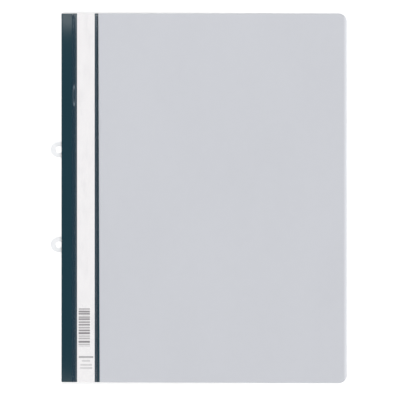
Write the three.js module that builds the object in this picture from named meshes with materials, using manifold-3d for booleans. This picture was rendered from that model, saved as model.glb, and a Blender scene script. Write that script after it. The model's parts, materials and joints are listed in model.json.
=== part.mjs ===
// A plastic fastener folder, lying closed on its back cover.
// X runs from the spine to the fore edge, Y runs up the page and Z points up from the table.
// The origin is the middle of the back cover's underside. All sizes are in millimetres.
import * as THREE from "three";
import { mergeVertices } from "three/addons/utils/BufferGeometryUtils.js";
import Module from "manifold-3d";

const wasm = await Module();
wasm.setup();

// Dark film: back cover, spine and the flap along the front, folded from one sheet.
const coverWidth = 240;
const filmHeight = 309.8;
const filmThickness = 0.3;
const foldRadius = 0.8;
const foldGap = 0.05;
const cornerRadius = 7;
const backInset = 2.7;
const flapWidthAtHead = 30.9;
const flapWidthAtFoot = 32;

// Grey front sheet, welded under the flap. Its foot runs out of square with the dark film.
const sheetThickness = 0.3;
const seamStart = 8.7;
const sheetHeadProud = 0.15;
const sheetFootProud = 0.15;
const sheetFootSkew = 1;
const sheetFlatWidth = 34;
const sheetForeGap = 0.3;
const sheetSteps = 20;

// Clear pocket on the flap and the paper strip in it.
const labelStart = 13.1;
const labelWidth = 14.8;
const labelThickness = 0.2;
const labelHeadProud = 0.2;
const labelFootProud = 0.35;
const labelSideClearance = 1.5;
const pocketThickness = 0.2;
const pocketEdgeInset = 0.3;

// Filing eyelets: one plastic strip inside the spine with two tabs out through slits.
const punchPitch = 80;
const punchLine = 0.6;
const eyeletThickness = 0.5;
const eyeletRadius = 6.3;
const eyeletEndFromSpine = 3;
const eyeletHoleDiameter = 5.8;
const eyeletHoleFromSpine = 2.2;
const eyeletStripWidth = 10;
const eyeletStripLength = 120;
const eyeletStripClearance = 0.3;
const slitEndClearance = 0.2;
const slitTopClearance = 0.2;

// Film panel over the base of the prongs.
const panelThickness = 0.3;
const panelLength = 300;
const panelSpineClearance = 0.9;
const panelBarMargin = 1;
const panelStepRun = 1.2;
const panelFlangeWidth = 6;

// Metal prong strip and the plastic bar that its tongues are bent over.
const fastenerFromSpine = 20.5;
const prongThickness = 0.3;
const prongWidth = 6;
const prongLength = 34;
const prongSlotSide = 0.5;
const prongSlotEnd = 0.4;
const barLength = 118;
const barWidth = 12;
const barFloor = 0.8;
const barRimHeight = 0.6;
const barRimWidth = 1.2;
const sheetBarClearance = 0.1;

const roundSteps = 16;
const foldSteps = 5;
const cutOverrun = 1;

// Levels above the table, from the back cover up to the pocket.
const backTop = filmThickness;
const eyeletTop = backTop + eyeletThickness;
const panelBottom = backTop + Math.max(eyeletThickness, prongThickness);
const panelTop = panelBottom + panelThickness;
const barFloorTop = panelTop + barFloor;
const barTop = barFloorTop + barRimHeight;
const prongTop = barFloorTop + prongThickness;
const sheetBottom = Math.max(barTop, prongTop) + sheetBarClearance;
const flapBottom = sheetBottom + sheetThickness;
const flapTop = flapBottom + filmThickness;
const labelTop = flapTop + labelThickness;
const pocketTop = labelTop + pocketThickness;
const foldLevel = flapTop - foldRadius;
const wellAbove = pocketTop + cutOverrun;
const wellBelow = -cutOverrun;

// Places across the folder, measured from the spine edge.
const spineX = -coverWidth / 2;
const fromSpine = (distance) => spineX + distance;
const headY = filmHeight / 2;
const footY = -headY;
const labelEnd = labelStart + labelWidth;
const pocketEnd = Math.min(flapWidthAtHead, flapWidthAtFoot) - pocketEdgeInset;
const fastenerX = fromSpine(fastenerFromSpine);
const punchRows = [punchLine - punchPitch / 2, punchLine + punchPitch / 2];

function outlineOf(points) {
  return new THREE.Shape(points.map(([across, up]) => new THREE.Vector2(across, up)));
}

function solidOf(geometry) {
  geometry.deleteAttribute("normal");
  geometry.deleteAttribute("uv");
  const merged = mergeVertices(geometry);
  return new wasm.Manifold(new wasm.Mesh({
    numProp: 3,
    vertProperties: new Float32Array(merged.attributes.position.array),
    triVerts: new Uint32Array(merged.index.array),
  }));
}

function geometryOf(solid) {
  const mesh = solid.getMesh();
  const geometry = new THREE.BufferGeometry();
  geometry.setAttribute("position", new THREE.BufferAttribute(mesh.vertProperties, 3));
  geometry.setIndex(new THREE.BufferAttribute(mesh.triVerts, 1));
  geometry.computeVertexNormals();
  return geometry;
}

function extruded(outline, depth, placement) {
  const options = { depth, bevelEnabled: false, curveSegments: roundSteps };
  return solidOf(new THREE.ExtrudeGeometry(outline, options).applyMatrix4(placement));
}

// A plate with its outline drawn in X and Y.
function plate(outline, bottom, top) {
  return extruded(outline, top - bottom, new THREE.Matrix4().makeTranslation(0, 0, bottom));
}

// A strip with its section drawn in X and Z, running along Y.
function stripAlongY(section, low, high) {
  const placement = new THREE.Matrix4().set(1, 0, 0, 0, 0, 0, -1, high, 0, 1, 0, 0, 0, 0, 0, 1);
  return extruded(section, high - low, placement);
}

// A strip with its section drawn in Y and Z, running along X.
function stripAlongX(section, low, high) {
  const placement = new THREE.Matrix4().set(0, 0, 1, low, 1, 0, 0, 0, 0, 1, 0, 0, 0, 0, 0, 1);
  return extruded(section, high - low, placement);
}

function block(low, high) {
  const outline = outlineOf([[low[0], low[1]], [high[0], low[1]], [high[0], high[1]], [low[0], high[1]]]);
  return plate(outline, low[2], high[2]);
}

// A leaf's plan: square corners at the spine, round ones at the fore edge.
function leafOutline(spineSide, foreSide, head, footAtSpine, footAtFore) {
  const outline = new THREE.Shape();
  outline.moveTo(spineSide, footAtSpine);
  outline.lineTo(foreSide - cornerRadius, footAtFore);
  outline.absarc(foreSide - cornerRadius, footAtFore + cornerRadius, cornerRadius, -Math.PI / 2, 0);
  outline.absarc(foreSide - cornerRadius, head - cornerRadius, cornerRadius, 0, Math.PI / 2);
  outline.lineTo(spineSide, head);
  return outline;
}

function stadium(centreX, centreY, width, length) {
  const radius = width / 2;
  const reach = length / 2 - radius;
  const outline = new THREE.Shape();
  outline.absarc(centreX, centreY + reach, radius, 0, Math.PI);
  outline.absarc(centreX, centreY - reach, radius, Math.PI, 2 * Math.PI);
  return outline;
}

// Points of a round fold between two radii, about the fold's inner centre.
function foldArc(centreX, centreZ, radius, startAngle, endAngle) {
  return Array.from({ length: foldSteps + 1 }, (_, step) => {
    const angle = startAngle + (endAngle - startAngle) * step / foldSteps;
    return [centreX + radius * Math.cos(angle), centreZ + radius * Math.sin(angle)];
  });
}

// The back panel turns up into the spine in one round fold. The eyelets' slits stand over the panel.
function backCover() {
  const foreX = fromSpine(coverWidth - backInset);
  const wallTop = foldLevel - foldGap;
  const innerRadius = foldRadius - filmThickness;
  const foldX = fromSpine(foldRadius);
  const section = outlineOf([
    [foreX, 0],
    [foreX, backTop],
    ...foldArc(foldX, foldRadius, innerRadius, 1.5 * Math.PI, Math.PI),
    [fromSpine(filmThickness), wallTop],
    [spineX, wallTop],
    ...foldArc(foldX, foldRadius, foldRadius, Math.PI, 1.5 * Math.PI),
  ]);
  const plan = leafOutline(spineX - cutOverrun, foreX, headY, footY, footY);
  let cover = stripAlongY(section, footY, headY).intersect(plate(plan, wellBelow, wellAbove));
  const halfSlit = eyeletRadius + slitEndClearance;
  for (const row of punchRows) {
    const low = [spineX - cutOverrun, row - halfSlit, backTop];
    const high = [foldX, row + halfSlit, eyeletTop + slitTopClearance];
    cover = cover.subtract(block(low, high));
  }
  return cover;
}

// The flap starts in the spine's upper fold and ends in a slanted free edge.
function frontFlap() {
  const widest = Math.max(flapWidthAtHead, flapWidthAtFoot);
  const foldX = fromSpine(foldRadius);
  const innerRadius = foldRadius - filmThickness;
  const section = outlineOf([
    ...foldArc(foldX, foldLevel, foldRadius, Math.PI, 0.5 * Math.PI),
    [fromSpine(widest), flapTop],
    [fromSpine(widest), flapBottom],
    ...foldArc(foldX, foldLevel, innerRadius, 0.5 * Math.PI, Math.PI),
  ].reverse());
  const plan = outlineOf([
    [spineX - cutOverrun, footY],
    [fromSpine(flapWidthAtFoot), footY],
    [fromSpine(flapWidthAtHead), headY],
    [spineX - cutOverrun, headY],
  ]);
  return stripAlongY(section, footY, headY).intersect(plate(plan, wellBelow, wellAbove));
}

// Underside of the front sheet: level over the fastener, then easing down to the fore edge.
function sheetUnderside(distance) {
  const share = Math.max(0, (distance - sheetFlatWidth) / (coverWidth - sheetFlatWidth));
  const lowest = backTop + sheetForeGap;
  return sheetBottom - (sheetBottom - lowest) * share * share * (3 - 2 * share);
}

function frontSheet() {
  const under = [[fromSpine(seamStart), sheetBottom]];
  for (let step = 0; step <= sheetSteps; step += 1) {
    const distance = sheetFlatWidth + (coverWidth - sheetFlatWidth) * step / sheetSteps;
    under.push([fromSpine(distance), sheetUnderside(distance)]);
  }
  const over = under.map(([across, height]) => [across, height + sheetThickness]).reverse();
  const head = headY + sheetHeadProud;
  const foot = footY - sheetFootProud;
  const lowestFoot = foot - sheetFootSkew;
  const spineSide = fromSpine(seamStart);
  const plan = leafOutline(spineSide, fromSpine(coverWidth), head, foot, lowestFoot);
  const sheet = stripAlongY(outlineOf([...under, ...over]), lowestFoot, head);
  return sheet.intersect(plate(plan, wellBelow, wellAbove));
}

// A shallow channel with a welded flange on each side, open at the head and the foot.
function labelPocket() {
  const inner = [labelStart - labelSideClearance, labelEnd + labelSideClearance];
  const outer = [inner[0] - pocketThickness, inner[1] + pocketThickness];
  const section = outlineOf([
    [fromSpine(seamStart), flapTop],
    [fromSpine(inner[0]), flapTop],
    [fromSpine(inner[0]), labelTop],
    [fromSpine(inner[1]), labelTop],
    [fromSpine(inner[1]), flapTop],
    [fromSpine(pocketEnd), flapTop],
    [fromSpine(pocketEnd), flapTop + pocketThickness],
    [fromSpine(outer[1]), flapTop + pocketThickness],
    [fromSpine(outer[1]), pocketTop],
    [fromSpine(outer[0]), pocketTop],
    [fromSpine(outer[0]), flapTop + pocketThickness],
    [fromSpine(seamStart), flapTop + pocketThickness],
  ]);
  return stripAlongY(section, footY, headY);
}

function labelStrip() {
  const low = [fromSpine(labelStart), footY - labelFootProud, flapTop];
  const high = [fromSpine(labelEnd), headY + labelHeadProud, labelTop];
  return block(low, high);
}

// Tab plan: straight sides out of the slit, a half-round end, and the filing hole nearer the spine.
function eyeletStrip() {
  const endX = fromSpine(-eyeletEndFromSpine);
  const holeX = fromSpine(-eyeletHoleFromSpine);
  const stripLow = fromSpine(foldRadius + eyeletStripClearance);
  const stripHigh = stripLow + eyeletStripWidth;
  const halfLength = eyeletStripLength / 2;
  const outline = new THREE.Shape();
  outline.moveTo(stripHigh, punchLine - halfLength);
  outline.lineTo(stripHigh, punchLine + halfLength);
  outline.lineTo(stripLow, punchLine + halfLength);
  for (const row of [...punchRows].reverse()) {
    outline.lineTo(stripLow, row + eyeletRadius);
    outline.absarc(endX, row, eyeletRadius, 0.5 * Math.PI, 1.5 * Math.PI);
    outline.lineTo(stripLow, row - eyeletRadius);
  }
  outline.lineTo(stripLow, punchLine - halfLength);
  for (const row of punchRows) {
    const hole = new THREE.Path();
    hole.absarc(holeX, row, eyeletHoleDiameter / 2, 0, 2 * Math.PI);
    outline.holes.push(hole);
  }
  return plate(outline, backTop, eyeletTop);
}

// Cuts for the two tongues, right through a piece.
function cutTongueSlots(solid) {
  let cut = solid;
  for (const row of punchRows) {
    const halfAcross = prongWidth / 2 + prongSlotSide;
    const halfAlong = prongThickness / 2 + prongSlotEnd;
    const low = [fastenerX - halfAcross, row - halfAlong, wellBelow];
    const high = [fastenerX + halfAcross, row + halfAlong, wellAbove];
    cut = cut.subtract(block(low, high));
  }
  return cut;
}

// Raised over the eyelet strip and the prong base, with its far flange down on the back cover.
function fastenerPanel() {
  const spineSide = foldRadius + panelSpineClearance;
  const stepStart = fastenerFromSpine + barWidth / 2 + panelBarMargin;
  const stepEnd = stepStart + panelStepRun;
  const flangeEnd = stepEnd + panelFlangeWidth;
  const section = outlineOf([
    [fromSpine(spineSide), panelBottom],
    [fromSpine(stepStart), panelBottom],
    [fromSpine(stepEnd), backTop],
    [fromSpine(flangeEnd), backTop],
    [fromSpine(flangeEnd), backTop + panelThickness],
    [fromSpine(stepEnd), backTop + panelThickness],
    [fromSpine(stepStart), panelTop],
    [fromSpine(spineSide), panelTop],
  ]);
  const panel = stripAlongY(section, punchLine - panelLength / 2, punchLine + panelLength / 2);
  return cutTongueSlots(panel);
}

// Base and risers are bent from one strip, and each tongue lies inward along the bar.
function prongStrip() {
  const half = prongThickness / 2;
  const [low, high] = punchRows;
  const base = outlineOf([
    [low - half, backTop],
    [high + half, backTop],
    [high + half, prongTop],
    [high - half, prongTop],
    [high - half, backTop + prongThickness],
    [low + half, backTop + prongThickness],
    [low + half, prongTop],
    [low - half, prongTop],
  ]);
  let strip = stripAlongX(base, fastenerX - prongWidth / 2, fastenerX + prongWidth / 2);
  for (const [row, inward] of [[low, 1], [high, -1]]) {
    const outerEdge = row - inward * half;
    const tipCentre = outerEdge + inward * (prongLength - prongWidth / 2);
    const tongue = new THREE.Shape();
    tongue.moveTo(fastenerX - inward * prongWidth / 2, outerEdge);
    tongue.lineTo(fastenerX + inward * prongWidth / 2, outerEdge);
    const start = inward > 0 ? 0 : Math.PI;
    tongue.absarc(fastenerX, tipCentre, prongWidth / 2, start, start + Math.PI);
    strip = strip.add(plate(tongue, barFloorTop, prongTop));
  }
  return strip;
}

// A shallow trough with round ends. The tongues come up through its floor.
function compressorBar() {
  const outer = plate(stadium(fastenerX, punchLine, barWidth, barLength), panelTop, barTop);
  const trough = stadium(fastenerX, punchLine, barWidth - 2 * barRimWidth, barLength - 2 * barRimWidth);
  return cutTongueSlots(outer.subtract(plate(trough, barFloorTop, wellAbove)));
}

const darkFilm = new THREE.MeshStandardMaterial({ color: 0x213f4a, roughness: 0.42, metalness: 0 });
const greyFilm = new THREE.MeshStandardMaterial({ color: 0xced0d6, roughness: 0.55, metalness: 0 });
const clearFilm = new THREE.MeshStandardMaterial({
  color: 0xf4f7f8,
  roughness: 0.12,
  metalness: 0,
  transparent: true,
  opacity: 0.25,
});
const labelPaper = new THREE.MeshStandardMaterial({ color: 0xf1eff2, roughness: 0.85, metalness: 0 });
const eyeletPlastic = new THREE.MeshStandardMaterial({ color: 0xf1f2f3, roughness: 0.35, metalness: 0 });
const prongMetal = new THREE.MeshStandardMaterial({ color: 0xc3c4c2, roughness: 0.3, metalness: 1 });
const barPlastic = new THREE.MeshStandardMaterial({ color: 0xe9eaea, roughness: 0.4, metalness: 0 });

function named(name, solid, material) {
  const mesh = new THREE.Mesh(geometryOf(solid), material);
  mesh.name = name;
  return mesh;
}

const backLeaf = new THREE.Group();
backLeaf.add(
  named("back_cover", backCover(), darkFilm),
  named("eyelet_strip", eyeletStrip(), eyeletPlastic),
  named("prong_strip", prongStrip(), prongMetal),
  named("fastener_panel", fastenerPanel(), darkFilm),
  named("compressor_bar", compressorBar(), barPlastic),
);

const frontLeaf = new THREE.Group();
frontLeaf.add(
  named("front_flap", frontFlap(), darkFilm),
  named("front_sheet", frontSheet(), greyFilm),
  named("label_strip", labelStrip(), labelPaper),
  named("label_pocket", labelPocket(), clearFilm),
);

const folder = new THREE.Group();
folder.add(backLeaf, frontLeaf);

export default folder;
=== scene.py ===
import json
import math

import bmesh
import bpy
import numpy as np
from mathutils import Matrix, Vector


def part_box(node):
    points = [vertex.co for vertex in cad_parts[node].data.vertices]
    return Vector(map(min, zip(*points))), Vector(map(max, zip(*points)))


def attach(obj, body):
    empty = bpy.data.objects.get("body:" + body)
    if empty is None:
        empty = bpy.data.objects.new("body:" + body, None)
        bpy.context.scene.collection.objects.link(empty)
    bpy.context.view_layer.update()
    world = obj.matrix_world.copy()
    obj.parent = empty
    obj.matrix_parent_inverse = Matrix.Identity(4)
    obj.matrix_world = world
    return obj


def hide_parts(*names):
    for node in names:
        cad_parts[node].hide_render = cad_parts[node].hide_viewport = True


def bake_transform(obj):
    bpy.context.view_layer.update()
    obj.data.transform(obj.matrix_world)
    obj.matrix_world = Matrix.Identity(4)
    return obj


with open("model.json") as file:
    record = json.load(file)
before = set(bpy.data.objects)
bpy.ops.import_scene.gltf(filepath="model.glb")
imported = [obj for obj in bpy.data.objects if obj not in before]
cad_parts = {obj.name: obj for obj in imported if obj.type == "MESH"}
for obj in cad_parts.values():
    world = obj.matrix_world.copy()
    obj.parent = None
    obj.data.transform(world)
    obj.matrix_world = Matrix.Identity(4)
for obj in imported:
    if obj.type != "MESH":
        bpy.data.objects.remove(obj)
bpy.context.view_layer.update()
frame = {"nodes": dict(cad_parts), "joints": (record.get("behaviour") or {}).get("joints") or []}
nodes = frame["nodes"]
MM = 0.001


# Back cover and spine: one petrol-blue film, creased up at the spine and slit there for the eyelets.
# It is a hard calendered film with a satin face and a very fine grain.
class Wire:
    """A socket of a material, on which sums and further nodes are written as expressions."""

    def __init__(self, tree, socket=None):
        self.tree = tree
        self.socket = socket

    def node(self, kind, settings, sockets, output=0):
        """One output of a new node: its settings are made first, and then its sockets are filled."""
        made = self.tree.nodes.new(kind)
        for name, value in settings.items():
            setattr(made, name, value)
        for name, value in sockets.items():
            if isinstance(value, Wire):
                self.tree.links.new(value.socket, made.inputs[name])
            else:
                made.inputs[name].default_value = value
        return Wire(self.tree, made.outputs[output])

    def maths(self, operation, *others):
        """A Math node with this value first and the others after it."""
        return self.node("ShaderNodeMath", {"operation": operation}, dict(enumerate([self, *others])))

    def __add__(self, other):
        return self.maths("ADD", other)

    __radd__ = __add__

    def __sub__(self, other):
        return self.maths("SUBTRACT", other)

    def __rsub__(self, other):
        return self.node("ShaderNodeMath", {"operation": "SUBTRACT"}, {0: other, 1: self})

    def __mul__(self, other):
        return self.maths("MULTIPLY", other)

    __rmul__ = __mul__

    def __truediv__(self, other):
        return self.maths("DIVIDE", other)

    def clipped(self):
        """This value held between 0 and 1."""
        return self.node("ShaderNodeClamp", {}, {"Value": self})

    def ramp(self, low, high):
        """0 below low, 1 above high and smooth between them."""
        settings = {"interpolation_type": "SMOOTHSTEP"}
        return self.node("ShaderNodeMapRange", settings, {"Value": self, "From Min": low, "From Max": high})

    def between(self, low, high, soft):
        """1 from low to high and 0 outside, with edges that blur by soft to each side."""
        return self.ramp(low - soft, low + soft) * (1 - self.ramp(high - soft, high + soft))

    def mixed(self, first, second):
        """The first colour where this mask is 0 and the second where it is 1."""
        factor, first_colour, second_colour, colour_result = 0, 6, 7, 2
        sockets = {factor: self, first_colour: first, second_colour: second}
        return self.node("ShaderNodeMix", {"data_type": "RGBA"}, sockets, colour_result)

    def noise(self, scale, detail=2.0, roughness=0.5):
        """Soft noise over this place, with about as many blots to a metre as scale says."""
        sockets = {"Vector": self, "Scale": scale, "Detail": detail, "Roughness": roughness}
        return self.node("ShaderNodeTexNoise", {}, sockets)

    def drawn(self):
        """A number from 0 to 1, drawn anew for each different value."""
        return self.node("ShaderNodeTexWhiteNoise", {"noise_dimensions": "1D"}, {"W": self})

    def stretched(self, factors):
        """This place with its directions scaled: noise over it runs long where a factor is small."""
        return self.node("ShaderNodeVectorMath", {"operation": "MULTIPLY"}, {0: self, 1: factors})

    def bumped(self, height=1.0):
        """The normal of a surface that rises by this value times the height, in metres."""
        return self.node("ShaderNodeBump", {}, {"Height": self, "Distance": height, "Strength": 1.0})


class Finish:
    """One material: its surface shader, and the places on the folder that its maths starts from."""

    def __init__(self, name):
        self.material = bpy.data.materials.new(name)
        self.material.use_nodes = True
        self.tree = self.material.node_tree
        self.shader = self.tree.nodes["Principled BSDF"]
        self.place = Wire(self.tree).node("ShaderNodeTexCoord", {}, {}, "Object")
        self.across = self.place.node("ShaderNodeSeparateXYZ", {}, {0: self.place}, "X")
        self.up = self.place.node("ShaderNodeSeparateXYZ", {}, {0: self.place}, "Y")

    def set(self, **values):
        """Fills or links sockets of the shader, each named in small letters."""
        for name, value in values.items():
            socket = self.shader.inputs[name.replace("_", " ").title().replace("Ior", "IOR")]
            if isinstance(value, Wire):
                self.tree.links.new(value.socket, socket)
            else:
                socket.default_value = value
        return self


def screen(red, green, blue):
    """A colour given as it shows on a screen, from 0 to 255, as the shader's linear one."""
    shares = [value / 255 for value in (red, green, blue)]
    linear = [share / 12.92 if share <= 0.04045 else ((share + 0.055) / 1.055) ** 2.4 for share in shares]
    return (*linear, 1.0)


spine_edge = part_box("back_cover")[0].x
head_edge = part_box("back_cover")[1].y
foot_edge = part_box("back_cover")[0].y


def end_droop(film):
    """How far a film sags from flat, by the cube of the distance into its head and foot ends."""
    reach = 66 * MM
    head_sag = -13.5
    foot_sag = -9.5
    from_head = (film.up - (head_edge - reach)).maths("MAXIMUM", 0.0)
    from_foot = ((foot_edge + reach) - film.up).maths("MAXIMUM", 0.0)
    return from_head * from_head * from_head * head_sag + from_foot * from_foot * from_foot * foot_sag


def dark_film():
    film = Finish("petrol film")
    ripple_height = 0.2 * MM
    grain_height = 0.006 * MM
    cloud = film.place.stretched((1, 0.35, 1)).noise(45, detail=3)
    grain = film.place.noise(5200, detail=2)
    ripple = film.place.stretched((0.8, 0.3, 1)).noise(22, detail=1)
    relief = ripple * ripple_height + grain * grain_height + end_droop(film)
    return film.set(
        base_color=cloud.ramp(0.15, 0.85).mixed(screen(5, 47, 58), screen(9, 49, 62)),
        roughness=cloud * 0.08 + 0.16,
        specular_ior_level=0.17,
        normal=relief.bumped(),
    ).material


petrol_film = dark_film()
nodes["back_cover"].material_slots[0].material = petrol_film


# Eyelet strip: milky polypropylene, moulded with two ringed tabs that come out of the spine.
# It lies against the back cover and the panel holds it down.
def piece_of(shape, name):
    """An object of the scene, made from a finished mesh shape."""
    mesh = bpy.data.meshes.new(name)
    shape.to_mesh(mesh)
    shape.free()
    piece = bpy.data.objects.new(name, mesh)
    bpy.context.scene.collection.objects.link(piece)
    return piece


def dressed_copy(node, name, body, material, bevel, segments=3):
    """A copy of a solid with its face triangles joined and its edges rounded."""
    same_point = 0.002 * MM
    flat_angle = math.radians(1)
    edge_angle = math.radians(40)
    shape = bmesh.new()
    shape.from_mesh(nodes[node].data)
    bmesh.ops.remove_doubles(shape, verts=shape.verts, dist=same_point)
    bmesh.ops.dissolve_limit(shape, angle_limit=flat_angle, verts=shape.verts, edges=shape.edges)
    piece = piece_of(shape, name)
    rounding = piece.modifiers.new("rounded edges", "BEVEL")
    rounding.width = bevel
    rounding.segments = segments
    rounding.limit_method = "ANGLE"
    rounding.angle_limit = edge_angle
    finish_mesh(piece, material)
    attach(piece, body)
    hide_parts(node)


def finish_mesh(piece, material):
    """Applies a piece's modifiers, smooths its shading up to sharp edges and gives it its material."""
    sharp_angle = math.radians(35)
    evaluated = piece.evaluated_get(bpy.context.evaluated_depsgraph_get())
    applied = bpy.data.meshes.new_from_object(evaluated)
    piece.modifiers.clear()
    piece.data = applied
    piece.data.materials.clear()
    piece.data.materials.append(material)
    piece.data.shade_smooth()
    piece.data.set_sharp_from_angle(angle=sharp_angle)


def milky_plastic():
    plastic = Finish("milky plastic")
    haze = plastic.place.noise(260, detail=2)
    return plastic.set(
        base_color=haze.ramp(0.3, 0.7).mixed(screen(233, 235, 237), screen(238, 239, 241)),
        roughness=haze * 0.1 + 0.28,
        normal=plastic.place.noise(900, detail=2).bumped(0.02 * MM),
    ).material


dressed_copy("eyelet_strip", "eyelet_rings", "back", milky_plastic(), bevel=0.07 * MM)


# Prong strip: tinned steel, pressed from strip, with two tongues bent inward over the bar.
# Its base lies on the back cover under the panel.
def tinned_steel():
    steel = Finish("tinned steel")
    drawn_lines = steel.place.stretched((1, 0.02, 1)).noise(3000, detail=3)
    worn = steel.place.noise(120, detail=3)
    return steel.set(
        base_color=worn.ramp(0.35, 0.7).mixed(screen(146, 148, 146), screen(164, 165, 163)),
        metallic=1.0,
        roughness=drawn_lines * 0.14 + 0.34,
        normal=drawn_lines.bumped(0.01 * MM),
    ).material


dressed_copy(
    "prong_strip", "prong_tongues", "back", tinned_steel(), bevel=0.06 * MM, segments=2
)


# Fastener panel: a strip of the petrol film over the prong base, welded along both edges.
# The tongues come up through two cuts in it.
nodes["fastener_panel"].material_slots[0].material = petrol_film


# Compressor bar: a white moulded trough that the tongues clamp on the sheets.
# It slides over the tongues through two cuts in its floor.
def moulded_white():
    plastic = Finish("moulded white")
    flow = plastic.place.stretched((1, 0.2, 1)).noise(150, detail=2)
    return plastic.set(
        base_color=flow.ramp(0.3, 0.7).mixed(screen(228, 229, 229), screen(238, 238, 237)),
        roughness=flow * 0.12 + 0.34,
        normal=plastic.place.noise(2600, detail=2).bumped(0.008 * MM),
    ).material


dressed_copy(
    "compressor_bar", "compressor_trough", "back", moulded_white(), bevel=0.25 * MM
)


# Front flap: the same petrol film, folded over from the spine, with a slanted free edge.
# Its crease is filled by a thin web of film along the fold's axis, between the two covers.
nodes["front_flap"].material_slots[0].material = petrol_film


def film_crease():
    """A thin web of film round the fold's axis, between the spine and the flap."""
    fold_level = frame["joints"][0]["pos_m"][2]
    wall = 0.3 * MM
    proud = 0.02 * MM
    reach = 0.12 * MM
    rows = 60
    levels = [fold_level - reach, fold_level - reach / 3, fold_level + reach / 3, fold_level + reach]
    low_x = spine_edge - proud
    high_x = spine_edge + wall + proud
    loop = [(low_x, z) for z in levels] + [(high_x, z) for z in reversed(levels)]
    shape = bmesh.new()
    rings = []
    for row in range(rows + 1):
        y = foot_edge + (head_edge - foot_edge) * row / rows
        rings.append([shape.verts.new((x, y, z)) for x, z in loop])
    for near, far in zip(rings, rings[1:]):
        for place in range(len(loop)):
            after = (place + 1) % len(loop)
            shape.faces.new((near[place], near[after], far[after], far[place]))
    shape.faces.new(rings[0][::-1])
    shape.faces.new(rings[-1])
    bmesh.ops.recalc_face_normals(shape, faces=shape.faces)
    piece = piece_of(shape, "cover_crease")
    finish_mesh(piece, petrol_film)
    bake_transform(piece)


film_crease()


# Front sheet: light grey film, welded under the flap, with round corners at the fore edge.
# Its fore edge stands past the dark back cover, and a paler rim there is painted light: the pale floor's
# glow through the thin film, painted into its colour.
sheet_low, sheet_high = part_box("front_sheet")


def solid_sheet(name, columns, rows, edges, top, bottom):
    """A closed sheet on a grid: edges(x) gives its lowest and highest y, top and bottom its two faces."""
    shape = bmesh.new()
    faces = []
    for level in (top, bottom):
        grid = []
        for x in columns:
            low_y, high_y = edges(x)
            ys = [low_y + (high_y - low_y) * row / rows for row in range(rows + 1)]
            grid.append([shape.verts.new((x, y, level(x, y))) for y in ys])
        faces.append(grid)
    upper, lower = faces
    count = len(columns)
    for i in range(count - 1):
        for j in range(rows):
            shape.faces.new((upper[i][j], upper[i + 1][j], upper[i + 1][j + 1], upper[i][j + 1]))
            shape.faces.new((lower[i][j], lower[i][j + 1], lower[i + 1][j + 1], lower[i + 1][j]))
    for i in range(count - 1):
        shape.faces.new((lower[i][0], lower[i + 1][0], upper[i + 1][0], upper[i][0]))
        shape.faces.new((upper[i][rows], upper[i + 1][rows], lower[i + 1][rows], lower[i][rows]))
    for j in range(rows):
        shape.faces.new((upper[0][j], upper[0][j + 1], lower[0][j + 1], lower[0][j]))
        shape.faces.new((lower[-1][j], lower[-1][j + 1], upper[-1][j + 1], upper[-1][j]))
    return piece_of(shape, name)


def grey_film():
    film = Finish("grey film")
    # The paler rim along the fore edge is painted light: the floor's glow through the film, painted into
    # the base colour.
    painted_backlight_start = sheet_high.x - 3.4 * MM
    painted_backlight_end = sheet_high.x + 1.0 * MM
    grain_height = 0.01 * MM
    ripple_height = 0.1 * MM
    mottle = film.place.noise(120, detail=4, roughness=0.6)
    cloud = film.place.stretched((1, 0.5, 1)).noise(16, detail=2)
    painted_backlight = film.across.ramp(painted_backlight_start, painted_backlight_end)
    tone = (mottle * 0.35 + cloud * 0.65).ramp(0.3, 0.7)
    body = tone.mixed(screen(197, 199, 205), screen(199, 201, 207))
    relief = film.place.noise(3400, detail=2) * grain_height + cloud * ripple_height
    return film.set(
        base_color=painted_backlight.mixed(body, screen(236, 238, 243)),
        roughness=mottle * 0.1 + 0.42,
        specular_ior_level=0.35,
        normal=relief.bumped(),
    ).material


def front_sheet():
    """Level under the flap, then easing down to the fore edge in low, long waves."""
    flat_end = spine_edge + 34 * MM
    corner = 7 * MM
    thickness = 0.3 * MM
    foot_skew = 1.0 * MM
    wave_height = 0.1 * MM
    wave_growth = 60 * MM
    wave_reach_up = 41 * MM
    wave_reach_across = 57 * MM
    wave_start_up = 0.7
    wave_start_across = 0.4
    straight_columns = 90
    corner_columns = 14
    rows = 120
    level_high = sheet_high.z - thickness
    level_low = sheet_low.z
    head = sheet_high.y
    foot_fore = sheet_low.y
    foot_spine = foot_fore + foot_skew
    fore = sheet_high.x

    def outline(x):
        share = (x - sheet_low.x) / (fore - corner - sheet_low.x)
        foot = foot_spine + (foot_fore - foot_spine) * min(1.0, share)
        inset = 0.0
        if x > fore - corner:
            run = x - (fore - corner)
            inset = corner - math.sqrt(max(0.0, corner * corner - run * run))
        return foot + inset, head - inset

    def underside(x, y):
        share = min(1.0, max(0.0, (x - flat_end) / (fore - flat_end)))
        drop = (level_high - level_low) * share * share * (3 - 2 * share)
        return level_high - drop

    def wave(x, y):
        free = min(1.0, max(0.0, (x - flat_end) / wave_growth))
        along = math.sin(y / wave_reach_up + wave_start_up)
        long_wave = along * math.cos(x / wave_reach_across + wave_start_across)
        return wave_height * free * (1 + long_wave) / 2

    def top(x, y):
        return underside(x, y) + thickness - wave_height + wave(x, y)

    straight = np.linspace(sheet_low.x, fore - corner, straight_columns)
    turn = fore - corner + corner * np.sin(np.linspace(0, math.pi / 2, corner_columns)[1:])
    columns = [float(x) for x in [*straight, *turn]]
    return solid_sheet("front_sheet_film", columns, rows, outline, top, underside)


sheet = front_sheet()
finish_mesh(sheet, grey_film())
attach(sheet, "cover")
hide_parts("front_sheet")


# Label strip: a strip of white paper that slides into the pocket from its head.
# Near its foot it has a block of plain bars and four plain grey rules.
label_low, label_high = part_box("label_strip")


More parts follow.
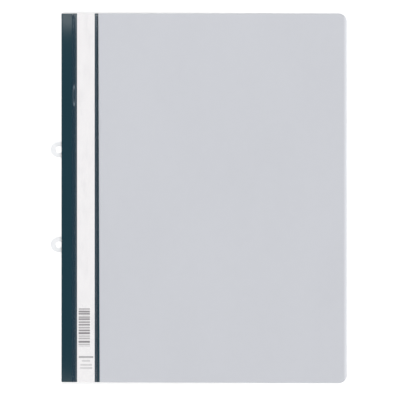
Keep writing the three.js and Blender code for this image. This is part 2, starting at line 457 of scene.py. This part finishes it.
def printed_bars(paper):
    """How dark the block of bars is: each bar has a middle and a weight drawn by its number."""
    edge = 0.1 * MM
    pitch = 2.3 * MM
    across = paper.across.between(label_low.x + 1.3 * MM, label_low.x + 10.8 * MM, edge)
    along = paper.up.between(foot_edge + 29.8 * MM, foot_edge + 61.8 * MM, edge)
    count = paper.up / pitch
    cell = count.maths("FLOOR")
    weight = cell.drawn()
    shift = (cell + 0.5).drawn()
    half_width = weight * 0.18 + 0.16
    from_bar = (count - cell - 0.36 - shift * 0.28).maths("ABSOLUTE")
    bar = 1 - from_bar.ramp(half_width - 0.05, half_width + 0.05)
    return across * along * (bar * (weight * 0.35 + 0.4) + 0.16)


def printed_rules(paper):
    """How dark the rules are, given in millimetres from the label's left edge and the foot."""
    edge = 0.15 * MM
    thickness = 1.5
    rules = 0.0
    for height, left, right, darkness in (
        (20.3, 1.5, 13.6, 0.75),
        (17.1, 4.0, 11.0, 0.36),
        (13.7, 2.8, 12.4, 0.36),
        (11.1, 2.6, 12.8, 0.36),
    ):
        along = paper.up.between(foot_edge + height * MM, foot_edge + (height + thickness) * MM, edge)
        reach = paper.across.between(label_low.x + left * MM, label_low.x + right * MM, edge)
        rules = along * reach * darkness + rules
    return rules


def printed_paper():
    paper = Finish("label paper")
    fibres = paper.place.stretched((1, 0.6, 1)).noise(700, detail=4)
    tone = fibres.ramp(0.25, 0.75).mixed(screen(242, 240, 241), screen(246, 244, 244))
    inked = printed_bars(paper).mixed(tone, screen(112, 107, 111))
    return paper.set(
        base_color=printed_rules(paper).mixed(inked, screen(140, 139, 142)),
        roughness=fibres * 0.1 + 0.78,
        specular_ior_level=0.3,
        normal=fibres.bumped(0.02 * MM),
    ).material


nodes["label_strip"].material_slots[0].material = printed_paper()


# Label pocket: clear film, welded to the flap along two seams of pressed dimples, open at both ends.
# Between the seams it lies over the paper, and a small blister stands in the left seam, with a painted
# glint round its edge in the film's colour.
pocket_low, pocket_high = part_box("label_pocket")
pocket_clearance = 0.02 * MM
pocket_thickness = 0.2 * MM - pocket_clearance
weld_gap = 1.7 * MM
left_weld_end = label_low.x - weld_gap
right_weld_start = label_high.x + weld_gap
blister_x = spine_edge + 10.6 * MM
blister_y = head_edge - 69 * MM
blister_reach_x = 0.9 * MM
blister_reach_y = 8.3 * MM


def clear_film():
    film = Finish("clear film")
    edge = 0.1 * MM
    left_seam = film.across.ramp(left_weld_end + edge, left_weld_end - edge)
    right_seam = film.across.ramp(right_weld_start - edge, right_weld_start + edge)
    seams = (left_seam + right_seam).clipped()
    over_paper = film.across.between(label_low.x, label_high.x, edge)
    margins = (1 - seams) * (1 - over_paper)
    scuffs = film.place.stretched((1, 0.3, 1)).noise(180, detail=3).ramp(0.45, 0.8)
    from_x = (film.across - blister_x) / blister_reach_x
    from_y = (film.up - blister_y) / blister_reach_y
    # The pale ring round the blister is a painted highlight: the glint its rounded edge would catch,
    # painted into the seam's colour.
    painted_glint_ring = (from_x * from_x + from_y * from_y).between(0.6, 1.2, 0.15)
    welds = right_seam.mixed(screen(24, 57, 74), screen(48, 64, 73))
    welds_and_painted_glint = (painted_glint_ring * 0.55).mixed(welds, screen(150, 162, 172))
    return film.set(
        base_color=seams.mixed(screen(146, 150, 163), welds_and_painted_glint),
        alpha=seams * 0.6 + margins * 0.05 + scuffs * 0.02 + 0.02,
        roughness=scuffs * 0.12 + 0.14,
        specular_ior_level=0.25,
        normal=(end_droop(film) * 0.65).bumped(),
    ).material


def pocket_film():
    """Flat in the seams and raised over the paper, with the dimples and the blister in its upper face."""
    bend = 0.35 * MM
    dimple_pitch = 3.32 * MM
    dimple_depth = 0.11 * MM
    dimple_reach_y = 1.15 * MM
    left_dimple_reach = 0.95 * MM
    right_dimple_reach = 0.40 * MM
    seams = [
        ((pocket_low.x + left_weld_end) / 2, left_dimple_reach),
        ((right_weld_start + pocket_high.x) / 2, right_dimple_reach),
    ]
    blister_height = 0.14 * MM
    left_columns = 11
    bend_columns = 5
    middle_columns = 9
    right_columns = 7
    rows = 650

    def edges(x):
        return pocket_low.y, pocket_high.y

    def lift(x):
        rise = min(1.0, max(0.0, (x - left_weld_end) / bend))
        fall = min(1.0, max(0.0, (right_weld_start - x) / bend))
        share = min(rise, fall)
        return (label_high.z - label_low.z) * share * share * (3 - 2 * share)

    def bottom(x, y):
        return pocket_low.z + pocket_clearance + lift(x)

    def hollow(x, y):
        along = (y / dimple_pitch - math.floor(y / dimple_pitch) - 0.5) * dimple_pitch
        deepest = 0.0
        for centre, reach_x in seams:
            away = math.hypot((x - centre) / reach_x, along / dimple_reach_y)
            if away < 1:
                deepest = max(deepest, dimple_depth * math.cos(away * math.pi / 2) ** 2)
        return deepest

    def top(x, y):
        away = math.hypot((x - blister_x) / blister_reach_x, (y - blister_y) / blister_reach_y)
        raised = blister_height * math.cos(min(1.0, away) * math.pi / 2) ** 2
        dimple = hollow(x, y) if away >= 1 else 0.0
        return bottom(x, y) + pocket_thickness + raised - dimple

    columns = [
        *np.linspace(pocket_low.x, left_weld_end, left_columns),
        *np.linspace(left_weld_end, left_weld_end + bend, bend_columns)[1:],
        *np.linspace(left_weld_end + bend, right_weld_start - bend, middle_columns)[1:],
        *np.linspace(right_weld_start - bend, right_weld_start, bend_columns)[1:],
        *np.linspace(right_weld_start, pocket_high.x, right_columns)[1:],
    ]
    return solid_sheet("label_pocket_film", [float(x) for x in columns], rows, edges, top, bottom)


pocket = pocket_film()
finish_mesh(pocket, clear_film())
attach(pocket, "cover")
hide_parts("label_pocket")


# Studio: a pale floor under a plain white sky, with softboxes at the head, the foot and both sides.
# The floor is clear from below, so that the folder's underside can be seen.
def seen_directly(tree):
    """1 where a thing is seen, in a gloss and through a film too, and 0 where it only gives light."""
    kinds = ("Is Camera Ray", "Is Glossy Ray", "Is Transmission Ray")
    camera, glossy, through = [Wire(tree).node("ShaderNodeLightPath", {}, {}, kind) for kind in kinds]
    return (camera + glossy + through).clipped()


def floor_paint():
    """Matt paint, with a glow that rises with the distance, where the lamps no longer reach."""
    paint = bpy.data.materials.new("studio floor")
    paint.use_nodes = True
    tree = paint.node_tree
    tree.nodes.remove(tree.nodes["Principled BSDF"])
    near_glow = (0.4, 0.4, 0.4, 1)
    far_glow = (0.9, 0.9, 0.9, 1)
    seen = seen_directly(tree)
    place = seen.node("ShaderNodeTexCoord", {}, {}, "Object")
    away = seen.node("ShaderNodeVectorMath", {"operation": "LENGTH"}, {0: place}, "Value")
    shade = away.ramp(0.4, 3.0).mixed(near_glow, far_glow)
    glow = seen.node("ShaderNodeEmission", {}, {"Color": shade, "Strength": seen})
    matt = seen.node("ShaderNodeBsdfDiffuse", {}, {"Color": (0.8, 0.8, 0.8, 1)})
    both = seen.node("ShaderNodeAddShader", {}, {0: glow, 1: matt})
    beneath = seen.node("ShaderNodeNewGeometry", {}, {}, "Backfacing")
    clear = seen.node("ShaderNodeBsdfTransparent", {}, {})
    one_sided = seen.node("ShaderNodeMixShader", {}, {0: beneath, 1: both, 2: clear})
    tree.links.new(one_sided.socket, tree.nodes["Material Output"].inputs["Surface"])
    return paint


def studio_floor(radius, sides, drop):
    shape = bmesh.new()
    bmesh.ops.create_circle(shape, cap_ends=True, radius=radius, segments=sides)
    ground = piece_of(shape, "studio_floor")
    ground.data.materials.append(floor_paint())
    ground.location.z = -drop


studio_floor(radius=12, sides=96, drop=0.05 * MM)


def softbox(name, place, size, power):
    """A rectangular lamp that faces the middle of the folder."""
    folder_middle = Vector((0, 0, 0))
    light = bpy.data.lights.new(name, "AREA")
    light.shape = "RECTANGLE"
    light.size, light.size_y = size
    light.energy = power
    lamp = bpy.data.objects.new(name, light)
    lamp.location = place
    lamp.rotation_mode = "QUATERNION"
    lamp.rotation_quaternion = (folder_middle - Vector(place)).to_track_quat("-Z", "Y")
    bpy.context.scene.collection.objects.link(lamp)


softbox("head_softbox", (0.0, 0.76, 1.45), (1.2, 0.3), 9.6)
softbox("foot_softbox", (0.0, -0.76, 1.45), (1.2, 0.3), 4.2)
softbox("left_softbox", (-1.6, -0.75, 1.5), (1.2, 1.2), 12.0)
softbox("right_softbox", (1.6, -0.75, 1.5), (1.2, 1.2), 10.6)


def white_sky(ambient):
    """A sky that is seen as white, and that lights the folder by its ambient share."""
    sky = bpy.data.worlds.new("studio sky")
    sky.use_nodes = True
    tree = sky.node_tree
    light = tree.nodes["Background"]
    light.inputs["Color"].default_value = (1, 1, 1, 1)
    strength = seen_directly(tree) * (1 - ambient) + ambient
    tree.links.new(strength.socket, light.inputs["Strength"])
    return sky


bpy.context.scene.world = white_sky(ambient=0.36)


# Camera: a long lens straight above the closed folder, far enough back for its size in the frame.
# The spine, the head and the foot lie at the three pixels of the frame that are given here.
image_size = 400
spine_pixel = 61.45
head_pixel = 13.4
foot_pixel = 382.1
pixel = (head_edge - foot_edge) / (foot_pixel - head_pixel)
centre_x = spine_edge + (image_size / 2 - spine_pixel) * pixel
centre_y = head_edge - (image_size / 2 - head_pixel) * pixel
camera_data = bpy.data.cameras.new("camera")
camera_data.sensor_width = 36
camera_data.lens = 200
camera_distance = image_size * pixel * camera_data.lens / camera_data.sensor_width
camera = bpy.data.objects.new("camera", camera_data)
camera.location = (centre_x, centre_y, camera_distance + pocket_high.z)
bpy.context.scene.collection.objects.link(camera)
bpy.context.scene.camera = camera
bpy.context.scene.view_settings.view_transform = "Standard"
